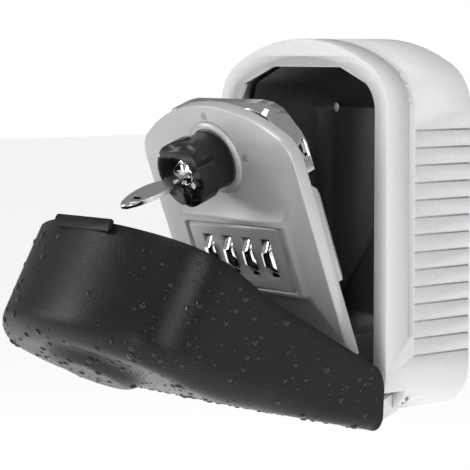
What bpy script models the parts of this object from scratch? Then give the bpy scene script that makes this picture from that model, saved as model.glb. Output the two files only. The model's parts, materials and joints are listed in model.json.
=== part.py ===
"""Wall key lock box: arch-topped housing, bottom-hinged combination door, hinged weather cover.

Every shape is drawn closed and locked down in "box coordinates", in millimetres: x to the right,
y back from the front rim, z up from the foot. The door and the cover then swing open on empties
that stand on the hinge rod. The scene itself is in metres, with its origin at the centre of the
rear face, which rests on the wall.
"""
import math

import bmesh
import bpy
from mathutils import Matrix, Vector

MM = 0.001

# Housing
WIDTH = 121.2
HEIGHT = 180.0
DEPTH = 57.0
CROWN_R = 99.0
SHOULDER_R = 25.0
FOOT_R = 20.0
SKIN = 3.4
RIM_STEP = 8.5
RIM_STEP_DEPTH = 3.0
FLANGE_BACK = 6.0
CHANNEL = (14.5, 18.2)
CHANNEL_DEPTH = 0.85
CHANNEL_FOOT = 38.0
GROOVES = 14
GROOVE_TOP = 136.4
GROOVE_PITCH = 8.3
GROOVE_WIDTH = 0.9
GROOVE_DEPTH = 0.6
BAY_HALF = 50.3
BAY_BACK = 25.0
BAY_TOP = 15.0
SHELF_TOP = 17.0
BACK_WALL = 53.5

# Mouth of the key space, flat at the top
MOUTH_HALF = 50.2
MOUTH_TOP = 166.3
MOUTH_FOOT = 18.6
LINER_WALL = 1.2
LINER_FRONT = 12.5
WALL_SCREW_X = 30.0
WALL_SCREW_Z = (40.0, 145.0)
WALL_SCREW_R = 2.6

# Hinge rod, shared by the door and the cover
PIVOT_Y = 19.0
PIVOT_Z = 6.6
ROD_R = 1.5
BUSH_R = 2.5
DOOR_OPEN = 21.0
COVER_OPEN = 61.0

# Door
FACE_Y = -7.2
DOOR_BACK = -0.2
DOOR_HALF = 54.4
DOOR_TOP = 168.5
DOOR_FOOT = 9.0
KNOB_Z = 142.4
DIAL_Z = 91.75
DIAL_Y = -0.8
DIAL_R = 11.6
DIAL_PITCH = 14.0
DIAL_WIDTH = 6.2
DIALS = 4
BEZEL = (41.0, 70.0, 114.7)
INSERT = (33.3, 75.1, 108.3)
SLOT = (3.5, 81.5, 102.0)
BEZEL_RISE = 2.8
CASE_BACK = 11.2
CASE_WALL = 1.4

# Bolts, driven by two pins on a cam behind the knob
BOLT_TRAVEL_R = 5.0
BOLT_PIN_R = 1.2
BOLT_TIP = 45.6
BOLT_HALF_HEIGHT = 3.9
BOLT_LAYER = (7.8, 9.9)

# Knob, cylinder, key: distances out from the door's face
KNOB_BASE = (1.8, 12.5)
KNOB_BASE_R = 14.4
GRIP_END = 23.0
GRIP_R = 16.0
LOBES = 6
BARREL_R = 7.6
PLUG_R = 5.0
KEY_END = 59.0
KEY_THICK = 2.0

# Cover
COVER_GAP = 1.0
COVER_WALL = 2.0
COVER_FOOT = 24.1
COVER_ROUND = 12.0
BULGE_RISE = 5.2
BULGE_HALF = 25.0
TAB_HALF = 21.0

PIVOT = Vector((0.0, PIVOT_Y, PIVOT_Z))


# ---------------------------------------------------------------- scene and materials

def clear_scene():
    for obj in list(bpy.data.objects):
        bpy.data.objects.remove(obj, do_unlink=True)


def new_collection(name):
    collection = bpy.data.collections.new(name)
    bpy.context.scene.collection.children.link(collection)
    return collection


def new_material(name, colour, metallic, roughness):
    material = bpy.data.materials.new(name)
    material.use_nodes = True
    shader = material.node_tree.nodes["Principled BSDF"]
    shader.inputs["Base Color"].default_value = (*colour, 1.0)
    shader.inputs["Metallic"].default_value = metallic
    shader.inputs["Roughness"].default_value = roughness
    return material


clear_scene()
PARTS = new_collection("key_lock_box")
CUTTERS = new_collection("cutters")
CUTTERS.hide_render = True

HOUSING_PAINT = new_material("housing_paint", (0.62, 0.62, 0.63), 0.0, 0.45)
DOOR_PAINT = new_material("door_paint", (0.40, 0.41, 0.42), 0.1, 0.42)
DARK_STEEL = new_material("dark_steel", (0.07, 0.07, 0.075), 0.5, 0.5)
POLISHED = new_material("polished_zinc", (0.80, 0.79, 0.78), 1.0, 0.12)
CHROME = new_material("chrome", (0.85, 0.85, 0.86), 1.0, 0.08)
STEEL = new_material("steel", (0.55, 0.55, 0.56), 1.0, 0.3)
KNOB_BLACK = new_material("knob_black", (0.02, 0.02, 0.022), 0.0, 0.35)
COVER_BLACK = new_material("cover_rubber", (0.025, 0.025, 0.027), 0.0, 0.55)


class Group:
    """An empty on a joint's axis, and the point in box coordinates where it stands."""

    def __init__(self, name, point, parent=None, tilt_degrees=0.0):
        self.point = Vector(point)
        self.empty = bpy.data.objects.new(name, None)
        PARTS.objects.link(self.empty)
        self.empty.rotation_euler = (math.radians(tilt_degrees), 0.0, 0.0)
        if parent is None:
            self.empty.location = Vector((0.0, -DEPTH, -HEIGHT / 2)) * MM
        else:
            self.empty.parent = parent.empty
            self.empty.location = (self.point - parent.point) * MM


HOUSING = Group("lock_box_frame", (0, 0, 0))
DOOR = Group("door_axis", PIVOT, HOUSING, DOOR_OPEN)
COVER = Group("cover_axis", PIVOT, HOUSING, COVER_OPEN)
KNOB = Group("knob_axis", (0, FACE_Y, KNOB_Z), DOOR)


# ---------------------------------------------------------------- shapes

def box(x0, x1, y0, y1, z0, z1):
    bm = bmesh.new()
    size = Vector((x1 - x0, y1 - y0, z1 - z0))
    centre = Vector((x0 + x1, y0 + y1, z0 + z1)) / 2
    bmesh.ops.create_cube(bm, size=1.0, matrix=Matrix.Translation(centre) @ Matrix.Diagonal((*size, 1.0)))
    return bm


AXIS_TURN = {
    "x": Matrix.Rotation(math.pi / 2, 4, "Y"),
    "y": Matrix.Rotation(-math.pi / 2, 4, "X"),
}


def rod(axis, start, end, radius, across, sides=24, end_radius=None, turn=0.0):
    """A cylinder or cone along x or y. `across` is its centre in the other two coordinates."""
    bm = bmesh.new()
    middle = (start + end) / 2
    centre = (middle, *across) if axis == "x" else (across[0], middle, across[1])
    far = radius if end_radius is None else end_radius
    bmesh.ops.create_cone(
        bm, cap_ends=True, segments=sides, radius1=radius, radius2=far, depth=end - start,
        matrix=Matrix.Translation(centre) @ AXIS_TURN[axis] @ Matrix.Rotation(turn, 4, "Z"),
    )
    return bm


def flat_solid(outline, thickness):
    """A closed plate from a filled 2D curve, its thickness centred on its own plane."""
    curve = bpy.data.curves.new("outline", "CURVE")
    curve.dimensions = "2D"
    curve.fill_mode = "BOTH"
    curve.extrude = thickness / 2
    spline = curve.splines.new("POLY")
    spline.points.add(len(outline) - 1)
    spline.use_cyclic_u = True
    for point, (u, v) in zip(spline.points, outline):
        point.co = (u, v, 0.0, 1.0)
    holder = bpy.data.objects.new("outline", curve)
    CUTTERS.objects.link(holder)
    bpy.context.view_layer.update()
    graph = bpy.context.evaluated_depsgraph_get()
    mesh = bpy.data.meshes.new_from_object(holder.evaluated_get(graph))
    bpy.data.objects.remove(holder)
    bm = bmesh.new()
    bm.from_mesh(mesh)
    bpy.data.meshes.remove(mesh)
    bmesh.ops.remove_doubles(bm, verts=bm.verts, dist=1e-4)
    bmesh.ops.recalc_face_normals(bm, faces=bm.faces)
    return bm


def front_plate(outline, y0, y1):
    """An outline in x and z, extruded from y0 back to y1."""
    bm = flat_solid(outline, y1 - y0)
    turn = Matrix.Rotation(math.pi / 2, 4, "X")
    bm.transform(Matrix.Translation((0, (y0 + y1) / 2, 0)) @ turn)
    return bm


def side_plate(outline, x0, x1):
    """An outline in y and z, extruded from x0 to x1."""
    bm = flat_solid(outline, x1 - x0)
    turn = Matrix(((0, 0, 1, 0), (1, 0, 0, 0), (0, 1, 0, 0), (0, 0, 0, 1)))
    bm.transform(Matrix.Translation(((x0 + x1) / 2, 0, 0)) @ turn)
    return bm


def top_plate(outline, z0, z1):
    """An outline in x and y, extruded from z0 up to z1."""
    bm = flat_solid(outline, z1 - z0)
    bm.transform(Matrix.Translation((0, 0, (z0 + z1) / 2)))
    return bm


def turned(profile, axis_y, centre, steps=40):
    """A turned solid round a line along y. The profile is (distance out from axis_y, radius)."""
    mesh = bpy.data.meshes.new("turned")
    points = [(radius, 0.0, out) for out, radius in profile]
    mesh.from_pydata(points, [(i, i + 1) for i in range(len(points) - 1)], [])
    holder = bpy.data.objects.new("turned", mesh)
    CUTTERS.objects.link(holder)
    screw = holder.modifiers.new("Screw", "SCREW")
    screw.steps = steps
    screw.render_steps = steps
    screw.merge_threshold = 1e-4
    screw.use_merge_vertices = True
    bpy.context.view_layer.update()
    graph = bpy.context.evaluated_depsgraph_get()
    result = bpy.data.meshes.new_from_object(holder.evaluated_get(graph))
    bpy.data.objects.remove(holder)
    bm = bmesh.new()
    bm.from_mesh(result)
    bpy.data.meshes.remove(result)
    bmesh.ops.remove_doubles(bm, verts=bm.verts, dist=1e-4)
    bmesh.ops.recalc_face_normals(bm, faces=bm.faces)
    bm.transform(Matrix.Translation((centre[0], axis_y, centre[1])) @ Matrix.Rotation(math.pi / 2, 4, "X"))
    return bm


def merged(*shapes):
    """Shapes that don't touch, in one mesh, for use as one cutter."""
    whole = bmesh.new()
    for shape in shapes:
        piece = bpy.data.meshes.new("piece")
        shape.to_mesh(piece)
        whole.from_mesh(piece)
        bpy.data.meshes.remove(piece)
        shape.free()
    return whole


def new_object(name, shape, group, origin, collection):
    """Puts a shape drawn in box coordinates under its group's empty, with its origin at `origin`."""
    origin = group.point if origin is None else Vector(origin)
    shape.transform(Matrix.Scale(MM, 4) @ Matrix.Translation(-origin))
    mesh = bpy.data.meshes.new(name)
    shape.to_mesh(mesh)
    shape.free()
    obj = bpy.data.objects.new(name, mesh)
    collection.objects.link(obj)
    obj.parent = group.empty
    obj.location = (origin - group.point) * MM
    return obj


def part(name, shape, material, group, origin=None, smooth=None):
    obj = new_object(name, shape, group, origin, PARTS)
    obj.data.materials.append(material)
    if smooth is not None:
        obj.data.shade_smooth()
        obj.data.set_sharp_from_angle(angle=math.radians(smooth))
    return obj


def bevel(obj, width, segments=2, degrees=60.0):
    modifier = obj.modifiers.new("Bevel", "BEVEL")
    modifier.width = width * MM
    modifier.segments = segments
    modifier.limit_method = "ANGLE"
    modifier.angle_limit = math.radians(degrees)


def combine(obj, operation, shape, group):
    other = new_object(f"{obj.name}_{operation.lower()}_{len(obj.modifiers)}", shape, group, None, CUTTERS)
    other.hide_render = True
    other.display_type = "WIRE"
    modifier = obj.modifiers.new(operation.title(), "BOOLEAN")
    modifier.operation = operation
    modifier.solver = "EXACT"
    modifier.object = other


def cut(obj, *shapes, group=HOUSING):
    for shape in shapes:
        combine(obj, "DIFFERENCE", shape, group)


def join(obj, *shapes, group=HOUSING):
    for shape in shapes:
        combine(obj, "UNION", shape, group)


# ---------------------------------------------------------------- outlines

def arc(centre, radius, start, end, steps):
    """Points on an arc, angles in radians, both ends included."""
    angles = [start + (end - start) * i / steps for i in range(steps + 1)]
    return [(centre[0] + radius * math.cos(a), centre[1] + radius * math.sin(a)) for a in angles]


def arch_top(half, top, crown, shoulder, steps=5):
    """Right half of an arch: shoulder, then crown up to the middle."""
    x = half - shoulder
    rise = math.sqrt((crown - shoulder) ** 2 - x**2)
    lean = math.atan2(rise, x)
    right = arc((x, top - crown + rise), shoulder, 0.0, lean, steps + 1)
    return right + arc((0.0, top - crown), crown, lean, math.pi / 2, steps)[1:]


def both_sides(right):
    """A right half, followed by its mirror image back down the left."""
    left = [(-x, z) for x, z in reversed(right)]
    return right + (left[1:] if abs(right[-1][0]) < 1e-6 else left)


def housing_arch(inset):
    return arch_top(WIDTH / 2 - inset, HEIGHT - inset, CROWN_R - inset, SHOULDER_R - inset)


def housing_outline(inset, foot=None):
    """The housing's front outline, moved in by `inset`, or cut off flat at a height `foot`."""
    half = WIDTH / 2 - inset
    if foot is None:
        radius = FOOT_R - inset
        start = arc((half - radius, FOOT_R), radius, -math.pi / 2, 0.0, 5)
    else:
        start = [(half, foot)]
    return both_sides(start + housing_arch(inset))


def horseshoe(outer, inner, foot):
    """The band between two insets of the housing's outline, above a height."""
    outside = both_sides([(WIDTH / 2 - outer, foot)] + housing_arch(outer))
    inside = both_sides([(WIDTH / 2 - inner, foot)] + housing_arch(inner))
    return outside + inside[::-1]


def mouth_outline(grow, foot=MOUTH_FOOT):
    right = [
        (MOUTH_HALF + grow, foot - grow),
        (MOUTH_HALF + grow, 145.0 + 0.3 * grow),
        (46.0 + 0.8 * grow, 157.3 + 0.7 * grow),
        (25.0 + 0.4 * grow, MOUTH_TOP + grow),
    ]
    return both_sides(right)


def door_outline():
    foot = arc((DOOR_HALF - 4.0, DOOR_FOOT + 4.0), 4.0, -math.pi / 2, 0.0, 3)
    return both_sides(foot + arch_top(DOOR_HALF, DOOR_TOP, 82.0, 16.0))


def case_outline(shrink=0.0):
    half = 46.0 - shrink
    right = [
        (half, 130.5 + shrink),
        (half, 144.0),
        (44.4 - shrink, 149.0 - 0.3 * shrink),
        (40.5 - 0.9 * shrink, 154.5 - 0.5 * shrink),
        (36.5 - 0.7 * shrink, 160.5 - 0.8 * shrink),
        (31.0 - 0.5 * shrink, 163.6 - 0.9 * shrink),
        (24.0 - 0.2 * shrink, 164.8 - shrink),
    ]
    return both_sides(right)


def rounded_rectangle(half, z0, z1, radius, steps=3):
    quarter = math.pi / 2
    low = arc((half - radius, z0 + radius), radius, -quarter, 0.0, steps)
    high = arc((half - radius, z1 - radius), radius, 0.0, quarter, steps)
    return both_sides(low + high)


def mirror_boxes(x0, x1, *rest):
    return merged(box(x0, x1, *rest), box(-x1, -x0, *rest))


# ---------------------------------------------------------------- housing

def make_housing():
    housing = part(
        "outer_housing", front_plate(housing_outline(0.0), 0, DEPTH), HOUSING_PAINT, HOUSING,
        smooth=35,
    )
    bevel(housing, 1.4, segments=2)
    cut(
        housing,
        front_plate(housing_outline(SKIN, foot=SHELF_TOP), FLANGE_BACK, BAY_BACK + 2.5),
        front_plate(housing_outline(SKIN), BAY_BACK + 1.5, BACK_WALL),
        front_plate(housing_outline(RIM_STEP), -2, RIM_STEP_DEPTH),
        front_plate(mouth_outline(0.0), -2, FLANGE_BACK + 1),
        box(-BAY_HALF, BAY_HALF, -2, BAY_BACK, -2, BAY_TOP),
        mirror_boxes(45.9, BAY_HALF, -2, 24.0, BAY_TOP - 1, SHELF_TOP + 3),
        mirror_boxes(BAY_HALF - 1, 64, -2, 15.0, -2, 12.0),
        merged(
            rod("x", 49, 58, 2.2, (PIVOT_Y, PIVOT_Z)),
            rod("x", -58, -49, 2.2, (PIVOT_Y, PIVOT_Z)),
        ),
        wall_screw_holes(),
        front_plate(horseshoe(-3.0, CHANNEL_DEPTH, CHANNEL_FOOT), *CHANNEL),
        grooves(),
    )


def wall_screw_holes():
    places = [(x, z) for x in (-WALL_SCREW_X, WALL_SCREW_X) for z in WALL_SCREW_Z]
    return merged(*[rod("y", 50, DEPTH + 1, WALL_SCREW_R, place, 16) for place in places])


def grooves():
    depth_x = WIDTH / 2 - GROOVE_DEPTH
    rows = []
    for i in range(GROOVES):
        z = GROOVE_TOP - i * GROOVE_PITCH
        rows.append(mirror_boxes(
            depth_x, WIDTH / 2 + 2, CHANNEL[1] + 0.6, DEPTH + 2, z - GROOVE_WIDTH / 2,
            z + GROOVE_WIDTH / 2,
        ))
    return merged(*rows)


def make_inner_liner():
    back = BACK_WALL - 0.5
    liner = part(
        "inner_liner", front_plate(mouth_outline(LINER_WALL), LINER_FRONT, back), DARK_STEEL,
        HOUSING,
    )
    cut(liner, front_plate(mouth_outline(0.0), LINER_FRONT - 1, back - LINER_WALL), wall_screw_holes())


def make_keepers():
    for side, name in ((1, "keeper_right"), (-1, "keeper_left")):
        ends = sorted((side * 50.7, side * 56.4))
        keeper = part(name, box(*ends, FLANGE_BACK + 0.3, FLANGE_BACK + 1.4, 131.0, 151.0), STEEL, HOUSING)
        heights = (133.6, 148.4)
        cut(keeper, merged(*[rod("y", 5, 9, 1.3, (side * 53.6, z), 12) for z in heights]))
        for i, z in enumerate(heights):
            screw = screw_shape(FLANGE_BACK + 1.6, 1.8, 1.0, FLANGE_BACK + 0.2, (side * 53.6, z))
            part(f"{name}_screw_{i + 1}", screw, STEEL, HOUSING, (side * 53.6, FLANGE_BACK, z))


def screw_shape(seat, head_r, shank_r, tip, place):
    """A screw along y whose head stands behind `seat` and whose shank runs forward to `tip`."""
    profile = [
        (seat + 1.1, 0.0), (seat + 1.1, head_r * 0.7), (seat + 0.8, head_r), (seat, head_r),
        (seat, shank_r), (tip, shank_r), (tip, 0.0),
    ]
    return turned([(-y, r) for y, r in profile], 0.0, place, steps=12)


def make_hinge_rod():
    part("hinge_rod", rod("x", -54.6, 54.6, ROD_R, (PIVOT_Y, PIVOT_Z)), STEEL, HOUSING, PIVOT, smooth=35)


def bush(name, x0, x1, group):
    sleeve = part(name, rod("x", x0, x1, BUSH_R, (PIVOT_Y, PIVOT_Z)), DARK_STEEL, group, PIVOT, smooth=35)
    cut(sleeve, rod("x", x0 - 1, x1 + 1, ROD_R + 0.15, (PIVOT_Y, PIVOT_Z)), group=group)


# ---------------------------------------------------------------- door

def ear_outline():
    hub = arc((PIVOT_Y, PIVOT_Z), 4.3, -math.pi / 2, math.pi / 2, 8)
    return hub + [(6.0, 12.6), (-0.9, 14.0), (-0.9, 9.6), (6.0, 4.4)]


def make_door_front():
    door = part("door_front", front_plate(door_outline(), FACE_Y, DOOR_BACK), DOOR_PAINT, DOOR, smooth=35)
    bevel(door, 1.5, segments=2)
    join(
        door, bezel_block(), side_plate(ear_outline(), 38, 44.5),
        side_plate(ear_outline(), -44.5, -38), group=DOOR,
    )
    leaf_front = -2.6
    cut(
        door,
        side_plate([(-9, 53), (FACE_Y, 50), (leaf_front, 38), (leaf_front, 5), (-9, 5)], -60, 60),
        mirror_boxes(45.5, 60, -10, 2, 0, 41.5),
        front_plate(
            rounded_rectangle(INSERT[0] + 0.3, INSERT[1] - 0.3, INSERT[2] + 0.3, 2.4), FACE_Y - 6,
            FACE_Y - 0.1,
        ),
        box(-30.5, 30.5, FACE_Y - 3, 2, SLOT[1] - 1.5, SLOT[2] + 2.0),
        box(-34.3, 34.3, -3.1, 2, DIAL_Z - 2.4, DIAL_Z + 2.4),
        rod("y", -12, 2, 7.0, (0, KNOB_Z)),
        merged(*[rod("y", -3.2, 2, 1.35, place, 12) for place in CASE_SCREWS + COVER_SCREWS]),
        merged(*[rod("x", x, x + 8.5, BUSH_R + 0.2, (PIVOT_Y, PIVOT_Z)) for x in (37, -45.5)]),
        group=DOOR,
    )


def bezel_block():
    half, foot, top = BEZEL
    outline = rounded_rectangle(half, foot, top, 3.0)
    block = front_plate(outline, FACE_Y - BEZEL_RISE, FACE_Y + 2)
    front = [v for v in block.verts if v.co.y < FACE_Y]
    middle = Vector((0.0, 0.0, (foot + top) / 2))
    for vert in front:
        vert.co.x -= math.copysign(2.4, vert.co.x)
        vert.co.z -= math.copysign(2.4, vert.co.z - middle.z)
    return block


def make_dial_cover():
    half, foot, top = INSERT
    cover = part(
        "dial_cover", front_plate(rounded_rectangle(half, foot, top, 2.2), FACE_Y - 2.5, FACE_Y - 0.5),
        DOOR_PAINT, DOOR, (0, FACE_Y, DIAL_Z), smooth=35,
    )
    slots = [
        box(x - SLOT[0], x + SLOT[0], FACE_Y - 4, FACE_Y + 1, SLOT[1], SLOT[2])
        for x in dial_centres()
    ]
    cut(cover, merged(*slots), group=DOOR)


def dial_centres():
    return [(i - (DIALS - 1) / 2) * DIAL_PITCH for i in range(DIALS)]


def make_dials():
    for i, x in enumerate(dial_centres()):
        centre = (x, DIAL_Y, DIAL_Z)
        place = (DIAL_Y, DIAL_Z)
        wheel = part(
            f"dial_wheel_{i + 1}", rod(
                "x", x - DIAL_WIDTH / 2, x + DIAL_WIDTH / 2, DIAL_R, place, 10,
                turn=math.radians(18),
            ),
            CHROME, DOOR, centre,
        )
        bevel(wheel, 0.4, segments=1, degrees=30)
        cut(wheel, rod("x", x - 5, x + 5, 2.3, place), group=DOOR)
        start = x + DIAL_WIDTH / 2 + 0.4
        sleeve = part(f"code_sleeve_{i + 1}", rod("x", start, start + 3.2, 6.5, place), STEEL, DOOR, centre)
        cut(
            sleeve, rod("x", start - 1, start + 5, 2.3, place),
            box(start - 1, start + 5, DIAL_Y - 1, DIAL_Y + 1, DIAL_Z + 4.6, DIAL_Z + 8), group=DOOR,
        )
    part(
        "dial_axle", rod("x", -33.8, 33.8, 2.0, (DIAL_Y, DIAL_Z)), STEEL, DOOR,
        (0, DIAL_Y, DIAL_Z), smooth=35,
    )


CASE_SCREWS = [(-38.0, 134.6), (38.0, 134.6), (-29.0, 158.0), (29.0, 158.0)]
COVER_SCREWS = [(-38.5, 81.0), (38.5, 81.0), (-38.5, 112.0), (38.5, 112.0)]
REAR_COVER_BACK = 13.0


def make_lock_case():
    case = part(
        "lock_case", front_plate(case_outline(), 0.1, CASE_BACK), POLISHED, DOOR, (0, 0, KNOB_Z),
        smooth=35,
    )
    low, high = BOLT_LAYER
    cut(
        case,
        front_plate(case_outline(CASE_WALL), -1, CASE_BACK - 1.0),
        mirror_boxes(
            40, 48, low - 0.3, high + 0.3, KNOB_Z - BOLT_HALF_HEIGHT - 0.4,
            KNOB_Z + BOLT_HALF_HEIGHT + 0.4,
        ),
        merged(*[rod("y", 9, 13, 1.35, place, 12) for place in CASE_SCREWS]),
        group=DOOR,
    )
    for i, place in enumerate(CASE_SCREWS):
        shape = screw_shape(CASE_BACK + 0.2, 2.3, 1.05, -2.8, place)
        part(f"case_screw_{i + 1}", shape, STEEL, DOOR, (place[0], 0, place[1]))


def rear_cover_profile(shrink):
    side = 48.8 - shrink
    back = REAR_COVER_BACK - shrink
    return [
        (side, 0.1 - shrink), (side, 6.8 - 0.4 * shrink), (side - 6.5, back), (6.5 - side, back),
        (-side, 6.8 - 0.4 * shrink), (-side, 0.1 - shrink),
    ]


def make_rear_cover():
    rear = part("rear_cover", top_plate(rear_cover_profile(0.0), 76, 129), DOOR_PAINT, DOOR, (0, 0, DIAL_Z))
    wall = 1.3
    slant = [(-1, 131), (0.1, 129.3), (14, 115.4), (14, 131)]
    cut(
        rear,
        top_plate(rear_cover_profile(wall), 76 + wall, 113.5),
        side_plate(slant, -60, 60),
        merged(*[rod("y", 9, 15, 1.35, place, 12) for place in COVER_SCREWS]),
        box(-35.5, -26.4, 9, 15, 83.0, 87.0),
        group=DOOR,
    )
    for i, place in enumerate(COVER_SCREWS):
        shape = screw_shape(REAR_COVER_BACK + 0.2, 2.3, 1.05, -2.8, place)
        part(f"rear_screw_{i + 1}", shape, STEEL, DOOR, (place[0], 0, place[1]))


def make_dial_mechanism():
    spring = part("detent_spring", box(-26, 26, 11.1, 11.45, 86, 97), STEEL, DOOR, (0, 11.3, DIAL_Z))
    gaps = [x + DIAL_PITCH / 2 for x in dial_centres()[:-1]]
    cut(spring, merged(*[box(x - 2, x + 2, 10, 13, 89, 99) for x in gaps]), group=DOOR)
    part("gate_slide", box(-26, 26, 2.0, 3.2, 105, 111), STEEL, DOOR, (0, 2.6, 108))
    part("reset_lever", box(-35.1, -31.2, 8.8, 16.0, 83.4, 86.6), STEEL, DOOR, (-33, 13, 85))


# ---------------------------------------------------------------- bolts and cam

def bolt_shape(side):
    """The right bolt's bar and yoke. The left one is the same, turned half way round the knob's axis."""
    low, high = BOLT_LAYER
    bar = [
        (12, -BOLT_HALF_HEIGHT), (BOLT_TIP - 1.5, -BOLT_HALF_HEIGHT), (BOLT_TIP, -2.4),
        (BOLT_TIP, 2.4), (BOLT_TIP - 1.5, BOLT_HALF_HEIGHT), (12, BOLT_HALF_HEIGHT),
    ]
    outline = bar + [(12, -1.3), (-7, -1.3), (-7, -8.4), (12, -8.4)]
    return front_plate([(side * x, KNOB_Z + side * z) for x, z in outline], low, high)


def make_bolts():
    drop = BOLT_TRAVEL_R * math.sin(math.pi / 4)
    low, high = BOLT_LAYER
    for side, name in ((1, "bolt_right"), (-1, "bolt_left")):
        bolt = part(name, bolt_shape(side), STEEL, DOOR, (side * 30, low, KNOB_Z))
        slot_x = sorted((side * (-drop - 1.55), side * (-drop + 1.55)))
        slot_z = sorted((KNOB_Z - side * 6.7, KNOB_Z - side * 1.9))
        cut(bolt, box(*slot_x, low - 1, high + 1, *slot_z), group=DOOR)


def make_cam():
    cam = part("drive_cam", rod("y", 1.2, 4.0, 9.0, (0, KNOB_Z), 32), STEEL, KNOB, smooth=35)
    drop = BOLT_TRAVEL_R * math.sin(math.pi / 4)
    pins = [rod("y", 3, 9.6, BOLT_PIN_R, (side * drop, KNOB_Z + side * drop), 12) for side in (1, -1)]
    join(cam, merged(*pins), group=KNOB)
    part("cam_nut", rod("y", 4.3, 6.9, 3.1, (0, KNOB_Z), 6), STEEL, KNOB)
    part("knob_spindle", rod("y", FACE_Y - 1.0, 0.9, 6.5, (0, KNOB_Z), 28), STEEL, KNOB, smooth=35)


# ---------------------------------------------------------------- knob, cylinder and key

def lobed_outline():
    """Broad lobes with a narrow groove between each two."""
    pattern = [(0.0, 1.5), (6.0, 0.15), (18.0, 0.0), (30.0, 0.0), (42.0, 0.0), (54.0, 0.15)]
    outline = []
    for lobe in range(LOBES):
        for degrees, dip in pattern:
            angle = math.radians(360.0 / LOBES * lobe + degrees + 20.0)
            radius = GRIP_R - dip
            outline.append((radius * math.cos(angle), KNOB_Z + radius * math.sin(angle)))
    return outline


def out(distance):
    """The y coordinate of a point this far out from the door's face."""
    return FACE_Y - distance


def make_knob():
    start, end = KNOB_BASE
    base = [
        (end + 1, 0.0), (end + 1, KNOB_BASE_R), (start + 0.8, KNOB_BASE_R),
        (start, KNOB_BASE_R - 0.8), (start, 0.0),
    ]
    knob = part("knob_grip", turned(base, FACE_Y, (0, KNOB_Z)), KNOB_BLACK, KNOB, smooth=35)
    join(knob, front_plate(lobed_outline(), out(GRIP_END), out(end)), group=KNOB)
    pivot_x, pivot_z = CAP_PIVOT
    cut(
        knob,
        rod("y", out(GRIP_END + 1), out(GRIP_END - 2.0), 9.4, (0, KNOB_Z), 32),
        rod("y", out(GRIP_END), out(2.6), BARREL_R + 0.25, (0, KNOB_Z), 32),
        rod("y", out(GRIP_END + 1), out(20), 1.1, (pivot_x, KNOB_Z + pivot_z), 12),
        group=KNOB,
    )
    collar = part(
        "knob_collar", rod("y", out(1.6), out(0.3), 17.6, (0, KNOB_Z), 40, end_radius=18.4),
        DOOR_PAINT, DOOR, (0, FACE_Y, KNOB_Z), smooth=35,
    )
    cut(collar, rod("y", out(4), out(-1), 15.0, (0, KNOB_Z), 40), group=DOOR)


def make_cylinder():
    barrel = part(
        "lock_cylinder", rod("y", out(21.4), out(2.9), BARREL_R, (0, KNOB_Z), 32), CHROME, KNOB,
        smooth=35,
    )
    cut(barrel, rod("y", out(23), out(4.2), PLUG_R + 0.25, (0, KNOB_Z), 28), group=KNOB)
    plug = part("key_plug", rod("y", out(21.2), out(4.5), PLUG_R, (0, KNOB_Z), 28), CHROME, KNOB, smooth=35)
    cut(plug, box(-4.4, 4.4, out(23), out(4.9), KNOB_Z - 1.25, KNOB_Z + 1.25), group=KNOB)


def key_outline():
    """The key seen from above, lying flat in the turned lock: blade, shoulders and a pointed bow."""
    right = [(1.2, out(5.4)), (3.5, out(8.5)), (3.5, out(26.5)), (5.4, out(28.5))]
    bow_start, steps = 30.0, 9
    for i in range(steps + 1):
        along = i / steps
        width = 3.2 + 6.6 * math.sin(math.pi * min(1.0, along * 1.02) ** 0.8) ** 0.8 if along < 1 else 2.0
        right.append((width, out(bow_start + (KEY_END - bow_start) * along)))
    return right + [(-x, y) for x, y in reversed(right)]


def make_key():
    outline = key_outline()
    key = part(
        "override_key", top_plate(outline, KNOB_Z - KEY_THICK / 2, KNOB_Z + KEY_THICK / 2), STEEL,
        KNOB,
    )
    cut(key, box(-3.4, 3.4, out(52), out(48.8), KNOB_Z - 3, KNOB_Z + 3), group=KNOB)


CAP_R = 5.0
CAP_REST = (1.0, -8.8)
CAP_ARM = 11.0


def cap_pivot():
    """The point as far from the cylinder's centre as from the cap's resting place beside it."""
    x, z = CAP_REST
    length = math.hypot(x, z)
    return (x / 2 - CAP_ARM * z / length, z / 2 + CAP_ARM * x / length)


CAP_PIVOT = cap_pivot()


def make_dust_cap():
    pivot = Vector((CAP_PIVOT[0], CAP_PIVOT[1]))
    rest = Vector(CAP_REST)
    along = (rest - pivot).normalized()
    across = Vector((-along.y, along.x))
    centre = (CAP_REST[0], KNOB_Z + CAP_REST[1])
    cap = part(
        "dust_cap", rod("y", out(GRIP_END + 2.3), out(GRIP_END + 0.4), CAP_R, centre, 28, end_radius=CAP_R),
        KNOB_BLACK, KNOB, (CAP_PIVOT[0], out(GRIP_END), KNOB_Z + CAP_PIVOT[1]), smooth=35,
    )
    start = pivot + along * 0.1
    corners = [start + across * 1.9, rest + across * 2.6, rest - across * 2.6, start - across * 1.9]
    outline = [(p.x, KNOB_Z + p.y) for p in corners]
    place = (CAP_PIVOT[0], KNOB_Z + CAP_PIVOT[1])
    join(
        cap, front_plate(outline, out(GRIP_END + 1.7), out(GRIP_END + 0.6)),
        rod("y", out(GRIP_END + 1.9), out(GRIP_END + 0.5), 2.1, place, 16), group=KNOB,
    )
    cut(cap, rod("y", out(GRIP_END + 4), out(GRIP_END - 1), 1.05, place, 12), group=KNOB)
    pin = [
        (GRIP_END + 2.9, 0.0), (GRIP_END + 2.9, 1.7), (GRIP_END + 2.2, 1.7), (GRIP_END + 2.2, 0.8),
        (20.3, 0.8), (20.3, 0.0),
    ]
    part(
        "cap_rivet", turned(pin, FACE_Y, place, steps=12), STEEL, KNOB,
        (place[0], out(GRIP_END), place[1]),
    )


# ---------------------------------------------------------------- cover

def blend(t):
    t = min(1.0, max(0.0, t))
    return t * t * (3 - 2 * t)


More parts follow.
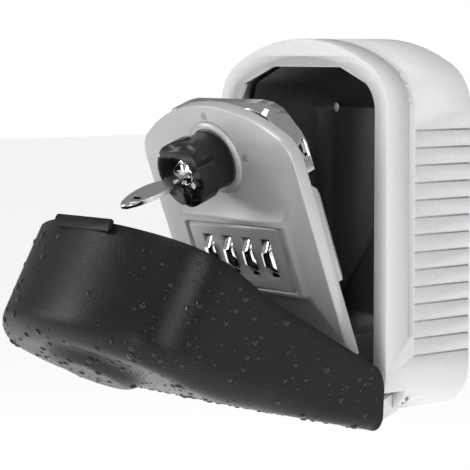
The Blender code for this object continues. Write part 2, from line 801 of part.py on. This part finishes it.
def cover_rim(z):
    """How far back the cover's side wall reaches at a height."""
    if z >= 41.0:
        return 23.0 + 3.6 * blend((z - 112.0) / 38.0)
    if z >= 30.1:
        return 15.1 + 7.9 * math.sin(math.pi / 2 * (z - 30.1) / 10.9) ** 0.8
    return 2.7 + 12.4 * (z - COVER_FOOT) / 6.0


def cover_front(x, z):
    """The cover's front face at a place, before its edge is rounded."""
    slope = -7.2 - 0.2715 * (z - 36.6)
    deepest = -29.8
    face = deepest + 2.5 * math.log(1.0 + math.exp((slope - deepest) / 2.5))
    reach = (x * x + (z - 145.5) ** 2) / BULGE_HALF**2
    return face - BULGE_RISE * blend((1.15 - reach) / 0.75)


def cover_round(z):
    wanted = 6.0 + (COVER_ROUND - 6.0) * blend((z - 50.0) / 45.0)
    return min(wanted, 0.62 * (cover_rim(z) - cover_front(60.0, z)))


def cover_path():
    """Points up the right side and over the arch to the middle, each with its outward direction."""
    grow = COVER_GAP + COVER_WALL
    half = WIDTH / 2 + grow
    heights = [
        COVER_FOOT, 25.8, 28.0, 30.1, 32.0, 35.0, 41.0, 50.0, 60.0, 72.0, 84.0, 94.0, 102.0, 109.0,
        116.0, 123.0, 131.0, 139.0,
    ]
    path = [((half, z), (1.0, 0.0)) for z in heights]
    top, crown, shoulder = HEIGHT + grow, CROWN_R + grow, SHOULDER_R + grow
    x = half - shoulder
    rise = math.sqrt((crown - shoulder) ** 2 - x**2)
    lean = math.atan2(rise, x)
    for i in range(9):
        angle = lean * i / 8
        normal = (math.cos(angle), math.sin(angle))
        path.append(((x + shoulder * normal[0], top - crown + rise + shoulder * normal[1]), normal))
    for i in range(1, 10):
        angle = lean + (math.pi / 2 - lean) * i / 9
        normal = (math.cos(angle), math.sin(angle))
        path.append(((crown * normal[0], top - crown + crown * normal[1]), normal))
    return path


def cover_section(point, normal):
    """One line of the cover's outer surface, from its rim, round its edge, to its middle line."""
    (x, z), (nx, nz) = point, normal
    radius = cover_round(z)
    rim = cover_rim(z)
    edge = cover_front(WIDTH, z) + radius
    section = [(x, rim + (edge - rim) * t, z) for t in (0.0, 0.35, 0.7, 1.0)]
    for i in range(1, 5):
        angle = math.pi / 2 * i / 4
        inset = radius * (1 - math.cos(angle))
        px, pz = x - nx * inset, z - nz * inset
        section.append((px, cover_front(px, pz) + radius * (1 - math.sin(angle)), pz))
    px, pz = section[-1][0], section[-1][2]
    spine = pz if pz < 110 else 110 + 0.4 * (pz - 110)
    for i in range(1, 8):
        t = i / 7
        qx, qz = px * (1 - t), pz + (spine - pz) * t
        section.append((qx, cover_front(qx, qz), qz))
    return section


def make_weather_cover():
    sections = [cover_section(*station) for station in cover_path()]
    sections += [[(-x, y, z) for x, y, z in line] for line in reversed(sections[:-1])]
    bm = bmesh.new()
    grid = [[bm.verts.new(point) for point in line] for line in sections]
    for line, following in zip(grid, grid[1:]):
        for i in range(len(line) - 1):
            bm.faces.new((line[i], line[i + 1], following[i + 1], following[i]))
    bmesh.ops.remove_doubles(bm, verts=bm.verts, dist=1e-3)
    bmesh.ops.recalc_face_normals(bm, faces=bm.faces)
    cover = part("weather_cover", bm, COVER_BLACK, COVER, smooth=50)
    shell = cover.modifiers.new("Solidify", "SOLIDIFY")
    shell.thickness = COVER_WALL * MM
    shell.offset = -1.0
    shell.use_even_offset = True
    lift = [(21.6, 181.4), (26.8, 181.4), (27.8, 182.0), (27.8, 183.6), (27.0, 184.0), (21.6, 183.5)]
    join(cover, side_plate(lift, -TAB_HALF, TAB_HALF), group=COVER)


def arm_outline():
    hub = arc((PIVOT_Y, PIVOT_Z), 4.2, -math.pi * 0.62, math.pi * 0.42, 9)
    return hub + [
        (15.4, 14.6), (10.0, 22.0), (2.0, 34.5), (-0.8, 40.0), (-2.3, 40.0), (-2.3, 27.0),
        (6.3, 10.6), (14.0, 3.8),
    ]


def make_cover_arms():
    for side, name in ((1, "cover_arm_right"), (-1, "cover_arm_left")):
        arm = part(
            name, side_plate(arm_outline(), *sorted((side * 46.6, side * 49.6))), HOUSING_PAINT,
            COVER, PIVOT,
        )
        join(arm, box(*sorted((side * 48.6, side * 60.2)), -2.3, -0.8, 31.5, 40.0), group=COVER)
        cut(arm, rod("x", *sorted((side * 45, side * 51)), BUSH_R + 0.2, (PIVOT_Y, PIVOT_Z)), group=COVER)


make_housing()
make_inner_liner()
make_keepers()
make_hinge_rod()
bush("door_bush_right", 38.2, 44.3, DOOR)
bush("door_bush_left", -44.3, -38.2, DOOR)
bush("cover_bush_right", 46.7, 49.5, COVER)
bush("cover_bush_left", -49.5, -46.7, COVER)
make_door_front()
make_dial_cover()
make_dials()
make_lock_case()
make_rear_cover()
make_dial_mechanism()
make_bolts()
make_cam()
make_knob()
make_cylinder()
make_key()
make_dust_cap()
make_weather_cover()
make_cover_arms()
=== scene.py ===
"""Looks for the wall key lock box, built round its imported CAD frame."""

import json
import math
import random

import bmesh
import bpy
from mathutils import Matrix, Vector
from mathutils.bvhtree import BVHTree


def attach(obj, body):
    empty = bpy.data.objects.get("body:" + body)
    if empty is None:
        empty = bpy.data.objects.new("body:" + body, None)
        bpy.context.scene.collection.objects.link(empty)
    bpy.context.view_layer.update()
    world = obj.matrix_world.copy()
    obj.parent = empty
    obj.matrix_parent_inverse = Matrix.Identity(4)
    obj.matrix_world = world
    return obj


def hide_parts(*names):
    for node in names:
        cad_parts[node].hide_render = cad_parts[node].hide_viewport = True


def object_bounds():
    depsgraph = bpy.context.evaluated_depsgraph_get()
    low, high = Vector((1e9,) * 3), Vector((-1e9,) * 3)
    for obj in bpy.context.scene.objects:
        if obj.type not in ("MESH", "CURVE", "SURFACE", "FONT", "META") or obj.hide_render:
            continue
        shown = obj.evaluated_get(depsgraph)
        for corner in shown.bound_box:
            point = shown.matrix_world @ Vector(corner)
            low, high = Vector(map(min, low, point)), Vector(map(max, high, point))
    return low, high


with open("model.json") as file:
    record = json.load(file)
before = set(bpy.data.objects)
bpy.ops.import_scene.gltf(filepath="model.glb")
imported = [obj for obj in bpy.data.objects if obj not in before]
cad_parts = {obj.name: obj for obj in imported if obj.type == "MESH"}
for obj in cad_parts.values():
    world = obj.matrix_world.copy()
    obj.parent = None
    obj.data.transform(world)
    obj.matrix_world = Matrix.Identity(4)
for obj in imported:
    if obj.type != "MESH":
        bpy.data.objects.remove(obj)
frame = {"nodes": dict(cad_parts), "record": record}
CAD_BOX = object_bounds()
MM = 0.001

# Box coordinates in mm: x right, y back from the rim, z up from the foot, drawn closed
DEPTH = 57.0
HALF_HEIGHT = 90.0
PIVOT = Vector((0.0, 19.0, 6.6))
DOOR_OPEN = math.radians(21.0)
COVER_OPEN = math.radians(61.0)
FACE_Y = -7.2
KNOB_Z = 142.4
DIAL_Y = -0.8
DIAL_Z = 91.75
DIAL_PITCH = 14.0

BODY = {}
for body_name, members in frame["record"]["behaviour"]["bodies"].items():
    for member in members:
        BODY[member] = body_name
SLOT = {entry["node"]: entry["material_slot"] for entry in frame["record"]["subparts"]}


def placed(angle):
    """Box coordinates in mm, turned open about the hinge rod, to the scene's metres."""
    to_scene = Matrix.Translation((0, -DEPTH * MM, -HALF_HEIGHT * MM)) @ Matrix.Scale(MM, 4)
    turn = Matrix.Translation(PIVOT) @ Matrix.Rotation(angle, 4, "X") @ Matrix.Translation(-PIVOT)
    return to_scene @ turn


ON_HOUSING = placed(0.0)
ON_DOOR = placed(DOOR_OPEN)
ON_COVER = placed(COVER_OPEN)


# ---------------------------------------------------------------- materials

def material(name, colour, roughness, metallic=0.0, fleck=0.05, scale=400.0, bump=0.0, bump_scale=900.0,
             edge=0.0, edge_highlight=0.0, coat=0.0, streak=None, shine=0.5):
    """A Principled material whose colour, roughness and relief all vary with procedural noise, with an
    optional painted highlight that lightens convex edges.
    """
    mat = bpy.data.materials.new(name)
    mat.use_nodes = True
    tree = mat.node_tree
    shader = tree.nodes["Principled BSDF"]
    shader.inputs["Metallic"].default_value = metallic
    shader.inputs["Specular IOR Level"].default_value = shine
    if coat:
        shader.inputs["Coat Weight"].default_value = coat
        shader.inputs["Coat Roughness"].default_value = 0.08
    where = tree.nodes.new("ShaderNodeTexCoord")
    mapping = tree.nodes.new("ShaderNodeMapping")
    tree.links.new(where.outputs["Object"], mapping.inputs["Vector"])
    if streak:
        mapping.inputs["Scale"].default_value = streak

    def noise(size, detail=3.0):
        node = tree.nodes.new("ShaderNodeTexNoise")
        node.inputs["Scale"].default_value = size
        node.inputs["Detail"].default_value = detail
        tree.links.new(mapping.outputs["Vector"], node.inputs["Vector"])
        return node

    def ramp(source, low, high, start=0.3, end=0.7):
        node = tree.nodes.new("ShaderNodeMapRange")
        node.inputs["From Min"].default_value = start
        node.inputs["From Max"].default_value = end
        node.inputs["To Min"].default_value = low
        node.inputs["To Max"].default_value = high
        tree.links.new(source, node.inputs["Value"])
        return node.outputs["Result"]

    fine = noise(scale)
    broad = noise(28.0, 2.0)
    mix = tree.nodes.new("ShaderNodeMix")
    mix.data_type = "RGBA"
    dark = [c * (1 - fleck) for c in colour]
    light = [min(1.0, c * (1 + fleck)) for c in colour]
    mix.inputs["A"].default_value = (*dark, 1.0)
    mix.inputs["B"].default_value = (*light, 1.0)
    tree.links.new(ramp(fine.outputs["Fac"], 0.0, 1.0), mix.inputs["Factor"])
    result = mix.outputs["Result"]
    # Painted highlight: convex edges (found by pointiness) are lightened in the base colour, standing
    # in for light caught on rounded edges.
    if edge_highlight:
        geometry = tree.nodes.new("ShaderNodeNewGeometry")
        edges = ramp(geometry.outputs["Pointiness"], 0.0, edge_highlight, 0.52, 0.62)
        highlit_edges = tree.nodes.new("ShaderNodeMix")
        highlit_edges.data_type = "RGBA"
        highlit_edges.inputs["B"].default_value = (*[min(1.0, c * 1.5 + 0.05) for c in colour], 1.0)
        tree.links.new(edges, highlit_edges.inputs["Factor"])
        tree.links.new(result, highlit_edges.inputs["A"])
        result = highlit_edges.outputs["Result"]
    tree.links.new(result, shader.inputs["Base Color"])
    rough = ramp(broad.outputs["Fac"], roughness * 0.85, min(1.0, roughness * 1.2))
    tree.links.new(rough, shader.inputs["Roughness"])
    normal = None
    if edge:
        rounded = tree.nodes.new("ShaderNodeBevel")
        rounded.samples = 4
        rounded.inputs["Radius"].default_value = edge * MM
        normal = rounded.outputs["Normal"]
    if bump:
        relief = tree.nodes.new("ShaderNodeBump")
        relief.inputs["Strength"].default_value = bump
        relief.inputs["Distance"].default_value = 0.0002
        grain = noise(bump_scale, 2.0)
        tree.links.new(grain.outputs["Fac"], relief.inputs["Height"])
        if normal:
            tree.links.new(normal, relief.inputs["Normal"])
        normal = relief.outputs["Normal"]
    if normal:
        tree.links.new(normal, shader.inputs["Normal"])
    return mat


# The housing and door paints use the painted edge highlight: their convex edges are lightened in the
# base colour.
LOOKS = {
    "housing_paint": material(
        "housing_paint_look", (0.64, 0.64, 0.65), 0.45, fleck=0.03, bump=0.12, bump_scale=1500,
        edge=0.7, edge_highlight=0.15,
    ),
    # Door paint is darker than the housing paint: partly the door's own mid-grey paint, partly painted
    # shade for the door face tilting down away from the light.
    "door_paint": material(
        "door_paint_and_shade_look", (0.47, 0.475, 0.48), 0.36, metallic=0.25, fleck=0.06, scale=2600,
        bump=0.06, bump_scale=1800, edge=0.5, edge_highlight=0.2,
    ),
    "dark_steel": material(
        "dark_steel_look", (0.05, 0.05, 0.052), 0.42, metallic=0.3, fleck=0.15, bump=0.1, edge=0.3,
    ),
    "polished_zinc": material(
        "polished_zinc_look", (0.78, 0.77, 0.76), 0.13, metallic=1.0, fleck=0.03, edge=0.6,
    ),
    "chrome": material("chrome_look", (0.86, 0.86, 0.87), 0.09, metallic=1.0, fleck=0.02, edge=0.25),
    "steel": material(
        "steel_look", (0.62, 0.62, 0.63), 0.24, metallic=1.0, fleck=0.06, scale=120,
        streak=(1, 14, 14), edge=0.25,
    ),
    "knob_black": material(
        "knob_black_look", (0.010, 0.010, 0.011), 0.3, fleck=0.2, edge=0.4, bump=0.03, shine=0.45,
    ),
    "cover_rubber": material(
        "cover_rubber_look", (0.009, 0.009, 0.0093), 0.34, fleck=0.3, scale=900, bump=0.6,
        bump_scale=1400, shine=0.2,
    ),
}
DIGIT = material("digit_black_look", (0.01, 0.01, 0.01), 0.5, fleck=0.1)
MARK = material("printed_mark_look", (0.30, 0.30, 0.31), 0.45, fleck=0.1, metallic=0.2)
WATER = material("water_bead_look", (0.012, 0.012, 0.013), 0.05, fleck=0.05, shine=0.35)


# ---------------------------------------------------------------- pieces

def new_piece(name, bm, look, body, smooth=38.0):
    mesh = bpy.data.meshes.new(name)
    bm.to_mesh(mesh)
    bm.free()
    obj = bpy.data.objects.new(name, mesh)
    bpy.context.scene.collection.objects.link(obj)
    mesh.materials.append(look)
    if smooth:
        mesh.shade_smooth()
        mesh.set_sharp_from_angle(angle=math.radians(smooth))
    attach(obj, body)
    return obj


def welded_copy(node):
    """The CAD node's shape with its split corners joined again."""
    bm = bmesh.new()
    bm.from_mesh(frame["nodes"][node].data)
    bmesh.ops.remove_doubles(bm, verts=bm.verts, dist=2e-6)
    return bm


def skin(node):
    """A smooth-shaded piece of the CAD node's own shape, shown in its place."""
    shape = welded_copy(node)
    obj = new_piece(node + "_skin", shape, LOOKS[SLOT[node]], BODY[node])
    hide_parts(node)


for node_name in frame["nodes"]:
    if node_name != "weather_cover":
        skin(node_name)


def add_box(bm, low, high, matrix):
    size = Vector(high) - Vector(low)
    centre = (Vector(high) + Vector(low)) / 2
    fitted = Matrix.Translation(centre) @ Matrix.Diagonal((*size, 1.0))
    bmesh.ops.create_cube(bm, size=1.0, matrix=matrix @ fitted)


# ---------------------------------------------------------------- cover

COVER_FOOT = 24.1
BULGE_HALF = 25.0
BULGE_RISE = 5.2
GROW = 2.6
HALF = 60.6 + GROW
TOP, CROWN, SHOULDER = 180.0 + GROW, 99.0 + GROW, 25.0 + GROW
SHOULDER_STEPS = 20
CROWN_STEPS = 24


def ease(t):
    t = min(1.0, max(0.0, t))
    return t * t * (3 - 2 * t)


def cover_rim(z):
    if z >= 41.0:
        return 23.0 + 3.6 * ease((z - 112.0) / 38.0)
    if z >= 30.1:
        return 15.1 + 7.9 * math.sin(math.pi / 2 * (z - 30.1) / 10.9) ** 0.8
    return 2.7 + 12.4 * (z - COVER_FOOT) / 6.0


def cover_front(x, z):
    slope = -7.2 - 0.2715 * (z - 36.6)
    deepest = -29.8
    face = deepest + 2.5 * math.log(1.0 + math.exp((slope - deepest) / 2.5))
    reach = (x * x + (z - 145.5) ** 2) / BULGE_HALF**2
    return face - BULGE_RISE * ease((1.15 - reach) / 0.75)


def cover_round(z):
    wanted = 6.0 + 6.0 * ease((z - 50.0) / 45.0)
    return min(wanted, 0.62 * (cover_rim(z) - cover_front(60.0, z)))


def cover_path():
    heights = [COVER_FOOT + (139.0 - COVER_FOOT) * i / 70 for i in range(71)]
    path = [((HALF, z), (1.0, 0.0)) for z in heights]
    x = HALF - SHOULDER
    rise = math.sqrt((CROWN - SHOULDER) ** 2 - x**2)
    lean = math.atan2(rise, x)
    for i in range(1, SHOULDER_STEPS + 1):
        angle = lean * i / SHOULDER_STEPS
        normal = (math.cos(angle), math.sin(angle))
        path.append(((x + SHOULDER * normal[0], TOP - CROWN + rise + SHOULDER * normal[1]), normal))
    for i in range(1, CROWN_STEPS + 1):
        angle = lean + (math.pi / 2 - lean) * i / CROWN_STEPS
        normal = (math.cos(angle), math.sin(angle))
        path.append(((CROWN * normal[0], TOP - CROWN + CROWN * normal[1]), normal))
    return path


def cover_section(point, normal):
    (x, z), (nx, nz) = point, normal
    radius = cover_round(z)
    rim = cover_rim(z)
    edge = cover_front(127.0, z) + radius
    line = [(x, rim + (edge - rim) * i / 8, z) for i in range(9)]
    for i in range(1, 9):
        angle = math.pi / 2 * i / 8
        inset = radius * (1 - math.cos(angle))
        px, pz = x - nx * inset, z - nz * inset
        line.append((px, cover_front(px, pz) + radius * (1 - math.sin(angle)), pz))
    px, pz = line[-1][0], line[-1][2]
    spine = pz if pz < 110 else 110 + 0.4 * (pz - 110)
    for i in range(1, 27):
        t = i / 26
        qx, qz = px * (1 - t), pz + (spine - pz) * t
        line.append((qx, cover_front(qx, qz), qz))
    return line


def make_cover():
    sections = [cover_section(*station) for station in cover_path()]
    sections += [[(-x, y, z) for x, y, z in line] for line in reversed(sections[:-1])]
    bm = bmesh.new()
    grid = [[bm.verts.new(point) for point in line] for line in sections]
    for line, following in zip(grid, grid[1:]):
        for i in range(len(line) - 1):
            bm.faces.new((line[i], line[i + 1], following[i + 1], following[i]))
    bmesh.ops.remove_doubles(bm, verts=bm.verts, dist=0.02)
    bmesh.ops.recalc_face_normals(bm, faces=bm.faces)
    outer = BVHTree.FromBMesh(bm)
    bm.transform(ON_COVER)
    cover = new_piece("weather_cover_skin", bm, LOOKS["cover_rubber"], "cover", smooth=60)
    shell = cover.modifiers.new("Solidify", "SOLIDIFY")
    shell.thickness = 2.0 * MM
    shell.offset = -1.0
    shell.use_even_offset = True
    edge = cover.modifiers.new("Bevel", "BEVEL")
    edge.width = 0.5 * MM
    edge.segments = 2
    edge.limit_method = "ANGLE"
    edge.angle_limit = math.radians(60)
    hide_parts("weather_cover")
    return outer


OUTER = make_cover()


def make_tab():
    bm = bmesh.new()
    outline = [(21.8, 181.6), (26.8, 181.6), (27.7, 182.1), (27.7, 183.5), (26.9, 183.9), (21.8, 183.4)]
    ends = []
    for x, shrink in ((-21, 0.5), (-20, 0.0), (20, 0.0), (21, 0.5)):
        middle = (24.7, 182.7)
        inward = shrink * 0.3
        ends.append([
            bm.verts.new((x, y + (middle[0] - y) * inward, z + (middle[1] - z) * inward))
            for y, z in outline
        ])
    for a, b in zip(ends, ends[1:]):
        for i in range(6):
            bm.faces.new((a[i], a[(i + 1) % 6], b[(i + 1) % 6], b[i]))
    bm.faces.new(ends[0][::-1])
    bm.faces.new(ends[-1])
    bmesh.ops.recalc_face_normals(bm, faces=bm.faces)
    bmesh.ops.bevel(bm, geom=[e for e in bm.edges], offset=0.3, segments=2, affect="EDGES")
    bm.transform(ON_COVER)
    new_piece("cover_pull_tab", bm, LOOKS["cover_rubber"], "cover", smooth=40)


make_tab()


# ---------------------------------------------------------------- dials

def make_digits():
    """Ten engraved and inked digits round each wheel, with 1 on the facet that faces the slot's top."""
    for wheel in range(4):
        x = (wheel - 1.5) * DIAL_PITCH
        whole = bmesh.new()
        for i in range(10):
            text = bpy.data.curves.new("digit", "FONT")
            text.body = str((1 + i) % 10)
            text.size = 5.0
            text.align_x = "CENTER"
            text.align_y = "CENTER"
            text.extrude = 0.04
            holder = bpy.data.objects.new("digit", text)
            bpy.context.scene.collection.objects.link(holder)
            bpy.context.view_layer.update()
            graph = bpy.context.evaluated_depsgraph_get()
            mesh = bpy.data.meshes.new_from_object(holder.evaluated_get(graph))
            bpy.data.objects.remove(holder)
            lift = math.radians(36.0 - 36.0 * i)
            stand = Matrix.Rotation(math.pi / 2, 4, "X")
            hub = Matrix.Translation((x, DIAL_Y, DIAL_Z))
            out = Matrix.Rotation(-lift, 4, "X") @ Matrix.Translation((0, -11.05, 0))
            facet = hub @ out @ stand
            mesh.transform(ON_DOOR @ facet)
            whole.from_mesh(mesh)
            bpy.data.meshes.remove(mesh)
        new_piece(f"dial_digits_{wheel + 1}", whole, DIGIT, f"dial_{wheel + 1}", smooth=None)


make_digits()


# ---------------------------------------------------------------- door details

def ring_arc(bm, centre, radius, width, start, end, y, depth, matrix, steps):
    lines = []
    for i in range(steps + 1):
        a = start + (end - start) * i / steps
        inner, outer = radius - width / 2, radius + width / 2
        corners = []
        for r, dy in ((inner, 0), (outer, 0), (outer, -depth), (inner, -depth)):
            corner = Vector((centre[0] + r * math.cos(a), y + dy, centre[1] + r * math.sin(a)))
            corners.append(bm.verts.new(matrix @ corner))
        lines.append(corners)
    for a, b in zip(lines, lines[1:]):
        for i in range(4):
            bm.faces.new((a[i], a[(i + 1) % 4], b[(i + 1) % 4], b[i]))
    bm.faces.new(lines[0])
    bm.faces.new(lines[-1])
    bmesh.ops.recalc_face_normals(bm, faces=bm.faces)


def make_marks():
    """Plain closed and open padlock marks beside the knob."""
    bm = bmesh.new()
    for cx, cz, shackle in ((0.0, KNOB_Z + 20.4, 0.0), (21.0, KNOB_Z, 0.9)):
        low = (cx - 1.7, FACE_Y - 0.12, cz - 1.3)
        high = (cx + 1.7, FACE_Y + 0.02, cz + 1.1)
        add_box(bm, low, high, ON_DOOR)
        middle = (cx + shackle, cz + 1.1)
        ring_arc(bm, middle, 1.15, 0.45, 0.0, math.pi, FACE_Y + 0.02, 0.14, ON_DOOR, 10)
    new_piece("padlock_marks", bm, MARK, "door", smooth=None)


make_marks()


# ---------------------------------------------------------------- water beads

SIDE_BEAD_HEIGHT = 0.3
MOST_BEADS = 900
MOST_TRIES = 14000


def make_beads():
    """Rain standing in beads on the outside of the cover, kept inside the CAD box."""
    rng = random.Random(7)
    bm = bmesh.new()
    unit = bmesh.new()
    bmesh.ops.create_icosphere(unit, subdivisions=2, radius=1.0)
    unit_mesh = bpy.data.meshes.new("bead")
    unit.to_mesh(unit_mesh)
    unit.free()
    low, high = [Vector(corner) for corner in CAD_BOX]
    made = []
    tries = 0
    while len(made) < MOST_BEADS and tries < MOST_TRIES:
        tries += 1
        x = rng.uniform(-75, 75)
        z = rng.uniform(24, 184)
        size = 0.35 + 1.6 * rng.random() ** 3.0
        if rng.random() < 0.5:
            start, ray = Vector((x, -60, z)), Vector((0, 1, 0))
        else:
            start = Vector((rng.choice((-90, 90)), rng.uniform(-30, 22), z))
            ray = Vector((-math.copysign(1, start.x), 0, 0))
        place, normal, _, _ = OUTER.ray_cast(start, ray)
        if place is None:
            continue
        if normal.dot(ray) > 0:
            normal = -normal
        if any((place - other).length < size + r + 0.25 for other, r in made):
            continue
        tall = rng.uniform(0.42, 0.62) if abs(normal.x) < 0.9 else SIDE_BEAD_HEIGHT / size
        turn = normal.to_track_quat("Z", "Y").to_matrix().to_4x4()
        wide, deep = rng.uniform(0.85, 1.2), rng.uniform(0.85, 1.2)
        stretch = Matrix.Diagonal((size * wide, size * deep, size * tall, 1.0))
        matrix = ON_COVER @ Matrix.Translation(place) @ turn @ stretch
        bead = unit_mesh.copy()
        bead.transform(matrix)
        if any(v.co[i] < low[i] or v.co[i] > high[i] for v in bead.vertices for i in range(3)):
            bpy.data.meshes.remove(bead)
            continue
        bm.from_mesh(bead)
        bpy.data.meshes.remove(bead)
        made.append((place, size))
    bpy.data.meshes.remove(unit_mesh)
    new_piece("water_beads", bm, WATER, "cover", smooth=180)


make_beads()


# ---------------------------------------------------------------- room, light and camera

def make_stage():
    bm = bmesh.new()
    low = Matrix.Translation((0, 0, -0.42))
    bmesh.ops.create_grid(bm, x_segments=1, y_segments=1, size=9.0, matrix=low)
    mesh = bpy.data.meshes.new("floor")
    bm.to_mesh(mesh)
    bm.free()
    floor = bpy.data.objects.new("floor", mesh)
    bpy.context.scene.collection.objects.link(floor)
    floor_look = material("floor_look", (0.93, 0.93, 0.93), 0.8, fleck=0.005, scale=6)
    floor_shader = floor_look.node_tree.nodes["Principled BSDF"]
    floor_shader.inputs["Emission Color"].default_value = (1, 1, 1, 1)
    floor_shader.inputs["Emission Strength"].default_value = 0.62
    mesh.materials.append(floor_look)
    world = bpy.data.worlds.new("studio")
    bpy.context.scene.world = world
    world.use_nodes = True
    tree = world.node_tree
    room = tree.nodes["Background"]
    room.inputs["Color"].default_value = (0.86, 0.87, 0.89, 1)
    room.inputs["Strength"].default_value = 0.34
    backdrop = tree.nodes.new("ShaderNodeBackground")
    backdrop.inputs["Color"].default_value = (1, 1, 1, 1)
    seen = tree.nodes.new("ShaderNodeLightPath")
    mix = tree.nodes.new("ShaderNodeMixShader")
    tree.links.new(seen.outputs["Is Camera Ray"], mix.inputs["Fac"])
    tree.links.new(room.outputs["Background"], mix.inputs[1])
    tree.links.new(backdrop.outputs["Background"], mix.inputs[2])
    tree.links.new(mix.outputs["Shader"], tree.nodes["World Output"].inputs["Surface"])
    bpy.context.scene.view_settings.view_transform = "Standard"


def area(name, place, target, size, power, tall=None):
    light = bpy.data.lights.new(name, "AREA")
    light.shape = "RECTANGLE"
    light.size = size
    light.size_y = tall or size
    light.energy = power
    obj = bpy.data.objects.new(name, light)
    bpy.context.scene.collection.objects.link(obj)
    obj.location = place
    obj.rotation_euler = (Vector(target) - Vector(place)).to_track_quat("-Z", "Y").to_euler()


def make_camera():
    forward = Vector((-0.723, 0.686, -0.081)).normalized()
    right = Vector((0.688, 0.725, 0.0)).normalized()
    up = right.cross(forward)
    forward = (forward - 0.0524 * right - 0.0081 * up).normalized()
    right = forward.cross(Vector((0, 0, 1))).normalized()
    up = right.cross(forward)
    camera_data = bpy.data.cameras.new("camera")
    camera_data.sensor_width = 36.0
    camera_data.lens = 159.4
    camera_data.clip_start = 0.05
    camera_data.dof.use_dof = False
    camera = bpy.data.objects.new("camera", camera_data)
    bpy.context.scene.collection.objects.link(camera)
    turn = Matrix((right, up, -forward)).transposed().to_4x4()
    camera.matrix_world = Matrix.Translation((0.7559, -0.7444, 0.0849)) @ turn
    bpy.context.scene.camera = camera


make_stage()
area("key_light", (1.5, -0.5, 0.5), (0, -0.05, 0), 0.7, 9)
area("left_light", (-1.0, -1.2, 0.5), (0, -0.1, 0), 0.35, 8, 0.9)
area("top_light", (0.1, -0.4, 1.4), (0, -0.1, 0), 0.6, 8)
area("front_light", (0.35, -1.7, 0.2), (0, -0.1, 0.05), 0.25, 5, 1.1)
make_camera()
